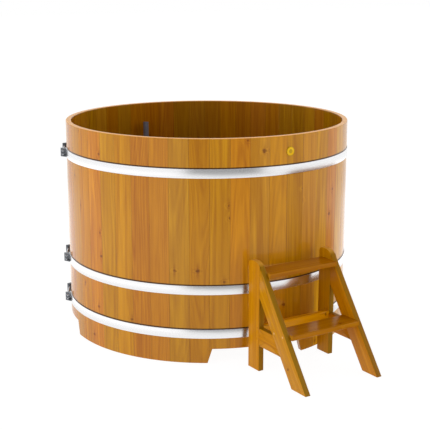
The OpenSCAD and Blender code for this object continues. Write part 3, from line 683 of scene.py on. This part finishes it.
# Clip screws: pan heads with a recess, and their shanks in the wall.
pan_profile = [(0, 0.0189), (0.002, 0.0189), (0.002, 0.0), (0.004, 0.0), (0.004, -0.0009),
               (0.0036, -0.0015), (0.0026, -0.0019), (0.0014, -0.002), (0.0013, -0.0008), (0, -0.0008)]
pan_centres = [(0, CLIP_PLATE_Y, z + row * CLIP_SCREW_Z) for z in CLIP_HEIGHTS for row in (-1, 1)]
piece("clip_pan_screws",
      [turned(pan_profile, SMALL_COLUMNS, centre, (0, 1, 0), False) for centre in pan_centres],
      "tub", screw_steel, "screw_steel", "clip_screws")

# Steps: boards with eased edges, their outlines given as (distance out from the tub, height).
lean_tan = math.tan(STEP_LEAN)
lean_w = PLANK_W / math.cos(STEP_LEAN)
foot_rear = STEPS_DEPTH - lean_w
rail_top = RAIL_Z + PLANK_W
head_u = STEPS_DEPTH - lean_tan * (STEPS_H - HEAD_FRONT_R) - HEAD_FRONT_R / math.cos(STEP_LEAN)
head_start = math.degrees(math.acos((PLANK_W - head_u) / HEAD_FRONT_R))
inner = STEPS_W / 2 - PLANK_T
rear_u = PLANK_W - PLANK_T / 2

post_head = np.concatenate([
    round_corner((head_u, STEPS_H - HEAD_FRONT_R), HEAD_FRONT_R, head_start, 90, 14),
    round_corner((HEAD_REAR_R, STEPS_H - HEAD_REAR_R), HEAD_REAR_R, 90, 180, 8), [[0, 0], [PLANK_W, 0]]])
stringer_edge = rounded_outline([
    [foot_rear, 0], [STEPS_DEPTH, 0], [PLANK_W, (STEPS_DEPTH - PLANK_W) / lean_tan],
    [PLANK_W, (foot_rear - PLANK_W) / lean_tan]], [EASE, EASE, TIGHT, TIGHT])
rail_edge = rounded_outline([
    [PLANK_W, RAIL_Z], [foot_rear - lean_tan * RAIL_Z, RAIL_Z], [foot_rear - lean_tan * rail_top, rail_top],
    [PLANK_W, rail_top]], [TIGHT] * 4)
rear_edge = rounded_outline([
    [-inner, REAR_RAIL_Z], [inner, REAR_RAIL_Z], [inner, REAR_RAIL_Z + PLANK_W],
    [-inner, REAR_RAIL_Z + PLANK_W]], [TIGHT] * 4)

for side, hand, number in ((-1, "left", 1.0), (1, "right", 2.0)):
    middle = side * (inner + PLANK_T / 2)
    for part, outline, ways, light, dark, seed, coat, dull, node in (
            ("post", post_head, (Z_WAY, Y_WAY, X_WAY), "#CE8C00", "#AA6600", 71.0, OILED, 0.32, "post"),
            ("stringer", stringer_edge, (LEAN_UP, LEAN_ACROSS, X_WAY), "#CE8C00", "#AA6600", 83.0,
             THIN_VARNISH, 0.24, "stringer"),
            ("rail", rail_edge, (Y_WAY, Z_WAY, X_WAY), "#CA8600", "#A66200", 97.0, OILED, 0.32,
             "side_rail")):
        wood = board_finish(f"varnished_larch_{hand}_{part}", ways, light, dark, "#D2983C", board=number,
                            seed=seed, narrow_edges=True, coat=coat, dull=dull)
        piece(f"{hand}_{part}_board", [plank(outline, middle, upright)], "steps", wood, "step_larch",
              f"{hand}_{node}")
piece("rear_rail_board", [plank(rear_edge, rear_u, crosswise)], "steps", rear_rail_painted_light_wood, "step_larch",
      "rear_rail")

# Plugs: slightly domed discs over the screws, a hair proud of the sides. The two at the lower tread are
# of a paler wood; the others match the planks.
low_u = foot_rear + lean_w / 2 - lean_tan * PLUG_LOW_Z
high_u = PLANK_W + (STEPS_DEPTH - lean_tan * PLUG_HIGH_Z - PLANK_W) * 0.5
low_half_gap = 0.033
plug_profile = [(0, -0.0065), (PLUG_R, -0.0065), (PLUG_R, -0.0001), (PLUG_R * 0.93, 0.0001),
                (PLUG_R * 0.6, 0.00022), (0, 0.0003)]
for name, wood, spots in (
        ("pale_plugs", pale_plug_wood, [(low_u - low_half_gap, PLUG_LOW_Z),
                                        (low_u + low_half_gap, PLUG_LOW_Z)]),
        ("matching_plugs", plug_wood, [(PLANK_W * 0.35, PLUG_HIGH_Z), (high_u, PLUG_HIGH_Z),
                                       (rear_u, REAR_RAIL_Z + PLANK_W * 0.25),
                                       (rear_u, REAR_RAIL_Z + PLANK_W * 0.85)])):
    centres = [(side, (STEPS_X + side * STEPS_W / 2, -STEPS_BACK - u, z))
               for side in (-1, 1) for u, z in spots]
    piece(name,
          [turned(plug_profile, SMALL_COLUMNS, centre, (side, 0, 0), False) for side, centre in centres],
          "steps", wood, "plug_wood", "step_plugs")


# Stage: pale floor, soft light, camera --------------------------------------

WHITE = (1, 1, 1, 1)
FLOOR_HALF = 40
PAPER_GLOW = 1.06


def lit_paper(name):
    """White paper over a light table: plain white to the camera, to gloss and through glass, with the
    object's shadow kept as a faint tone, and a pale floor with a weaker glow to all other light."""
    material, tree = new_finish(name)
    path = add(tree, "LightPath").node.outputs
    seen = calc(tree, "MAXIMUM", path["Is Camera Ray"], path["Is Glossy Ray"])
    seen = calc(tree, "MAXIMUM", seen, path["Is Transmission Ray"])
    paper = add(tree, "BsdfDiffuse", {"Color": linear("#FCFCFC")})
    glow = add(tree, "Emission", {"Color": WHITE, "Strength": PAPER_GLOW})
    share = calc(tree, "MULTIPLY_ADD", seen, 0.5, 0.4)
    shown = add(tree, "MixShader", {0: share, 1: paper, 2: glow})
    output = tree.nodes.new("ShaderNodeOutputMaterial")
    tree.links.new(shown, output.inputs["Surface"])
    return material


floor_mesh = bpy.data.meshes.new("studio_floor")
floor_mesh.from_pydata([(-FLOOR_HALF, -FLOOR_HALF, 0), (FLOOR_HALF, -FLOOR_HALF, 0),
                        (FLOOR_HALF, FLOOR_HALF, 0), (-FLOOR_HALF, FLOOR_HALF, 0)], [], [(0, 1, 2, 3)])
floor_mesh.materials.append(lit_paper("studio_paper"))
floor = bpy.data.objects.new("studio_floor", floor_mesh)
floor.visible_glossy = False
bpy.context.scene.collection.objects.link(floor)

# World. A direction is given by its height, from -1 below to 1 above, by its share towards +X, and by
# its turn from the front towards +X.
world = bpy.data.worlds.new("studio_tent")
bpy.context.scene.world = world
world.use_nodes = True
sky = world.node_tree
sky.nodes.clear()
ray = add(sky, "LightPath").node.outputs
seen = calc(sky, "MAXIMUM", ray["Is Camera Ray"], ray["Is Transmission Ray"])
toward = add(sky, "TexCoord", out="Generated")
way = add(sky, "SeparateXYZ", {0: toward}).node.outputs
turn = calc(sky, "ARCTAN2", way[0], calc(sky, "MULTIPLY", way[1], -1.0))


def within_band(value, low, full_low, full_high, high):
    """Is 1 between the two full values and eases to 0 at low and at high."""
    rise, fall = ramp(sky, value, low, full_low), ramp(sky, value, full_high, high, 1.0, 0.0)
    return calc(sky, "MULTIPLY", rise, fall)


def opening(middle, near, far, heights):
    """A part of the tent round a turn from the front: is 1 up to near degrees to each side of the middle
    and between the inner two heights, and eases to 0 at far degrees and at the outer two heights."""
    aside = calc(sky, "ABSOLUTE", calc(sky, "SUBTRACT", turn, math.radians(middle)))
    across = ramp(sky, aside, math.radians(near), math.radians(far), 1.0, 0.0)
    return calc(sky, "MULTIPLY", across, within_band(way[2], *heights))


# The light on the object is pale from the sides and dimmer from straight above, as under a low studio
# tent. The camera's side of the tent, 42 degrees to the left of the front, is dimmer too.
low_light = ramp(sky, way[2], 0.10, 0.80, 1.20, 0.45)
left_light = ramp(sky, way[0], -0.98, -0.35, 2.1, 1.0)
right_light = ramp(sky, way[0], 0.10, 0.95, 1.0, 1.95)
camera_share = vector(sky, "DOT_PRODUCT", toward, (-0.67, -0.74, 0.0), out="Value")
camera_side = ramp(sky, camera_share, 0.55, 0.95, 1.0, 0.55)
side_light = calc(sky, "MULTIPLY", calc(sky, "MULTIPLY", left_light, right_light), camera_side)
tent = add(sky, "Background", {"Color": WHITE, "Strength": calc(sky, "MULTIPLY", low_light, side_light)})

# Gloss sees a white tent. It is brighter in a low band at both sides. In front it has a grey opening,
# from 49 degrees left to 12 right, and below this a paler one, from 31 left to 23 right. A brown opening
# lies low on the right, from 37 to 95 degrees, and the room above the tent's edge is dim.
FRONT_DIM, FRONT_LOW_DIM = 0.68, 0.45
front = opening(-18.5, 27, 33, (-0.235, -0.205, 0.10, 0.22))
front_low = opening(-4, 24, 30, (-0.272, -0.250, -0.235, -0.205))
right_low = opening(66, 25, 33, (-1.0, -0.99, -0.250, -0.226))
sides = ramp(sky, calc(sky, "ABSOLUTE", turn), math.radians(42), math.radians(60), 0.0, 0.35)
bright = calc(sky, "MULTIPLY_ADD", sides, within_band(way[2], -0.300, -0.275, -0.215, -0.195), 1.0)
bright = calc(sky, "MULTIPLY_ADD", front, -FRONT_DIM, bright)
bright = calc(sky, "MULTIPLY_ADD", front_low, -FRONT_LOW_DIM, bright)
bright = calc(sky, "MULTIPLY", bright, ramp(sky, way[2], 0.34, 0.57, 1.0, 0.15))
tint = blend(sky, right_low, WHITE, linear("#7A4C14"))
mirrored = add(sky, "Background", {"Color": tint, "Strength": bright})

# The camera and glass see plain white.
white = add(sky, "Background", {"Color": WHITE, "Strength": 1.0})
lit = add(sky, "MixShader", {0: ray["Is Glossy Ray"], 1: tent, 2: mirrored})
sky_shown = add(sky, "MixShader", {0: seen, 1: lit, 2: white})
sky.links.new(sky_shown, sky.nodes.new("ShaderNodeOutputWorld").inputs["Surface"])

# A square soft lamp on the left, 80 degrees from the front and 20 up, that looks at the tub's middle.
LAMP_TURN, LAMP_RISE, LAMP_AWAY = math.radians(-80), math.radians(20), 5.0
LAMP_SIDE, LAMP_WATTS = 3.0, 20
TUB_MIDDLE = Vector((0, 0, 0.5))
softbox = bpy.data.lights.new("key_softbox", "AREA")
softbox.size = LAMP_SIDE
softbox.energy = LAMP_WATTS
lamp = bpy.data.objects.new("key_softbox", softbox)
lamp_way = Vector((math.sin(LAMP_TURN) * math.cos(LAMP_RISE), -math.cos(LAMP_TURN) * math.cos(LAMP_RISE),
                   math.sin(LAMP_RISE)))
lamp.location = lamp_way * LAMP_AWAY + TUB_MIDDLE
lamp.rotation_mode = "QUATERNION"
lamp.rotation_quaternion = (-lamp_way).to_track_quat("-Z", "Y")
lamp.visible_camera = False
lamp.visible_glossy = False
bpy.context.scene.collection.objects.link(lamp)

# Camera, as the photograph was taken: 32 degrees to the left of the front, 13 degrees down, turned from
# the tub's axis by the yaw.
CAMERA_TURN, CAMERA_AWAY, CAMERA_Z = math.radians(-32.22), 5.3864, 1.8352
CAMERA_YAW, CAMERA_PITCH = -0.0082, math.radians(13.278)
LENS_MM, SENSOR_MM = 85.08, 36.0
lens = bpy.data.cameras.new("photo_camera")
lens.lens, lens.sensor_width = LENS_MM, SENSOR_MM
camera = bpy.data.objects.new("photo_camera", lens)
camera.location = (math.sin(CAMERA_TURN) * CAMERA_AWAY, -math.cos(CAMERA_TURN) * CAMERA_AWAY, CAMERA_Z)
ahead = Vector((-math.sin(CAMERA_TURN), math.cos(CAMERA_TURN), 0))
right = Vector((math.cos(CAMERA_TURN), math.sin(CAMERA_TURN), 0))
level = ahead * math.cos(CAMERA_YAW) - right * math.sin(CAMERA_YAW)
look = level * math.cos(CAMERA_PITCH) - Vector((0, 0, 1)) * math.sin(CAMERA_PITCH)
camera.rotation_mode = "QUATERNION"
camera.rotation_quaternion = look.to_track_quat("-Z", "Y")
bpy.context.scene.collection.objects.link(camera)
bpy.context.scene.camera = camera

bpy.context.scene.view_settings.view_transform = "Standard"

bpy.context.view_layer.update()
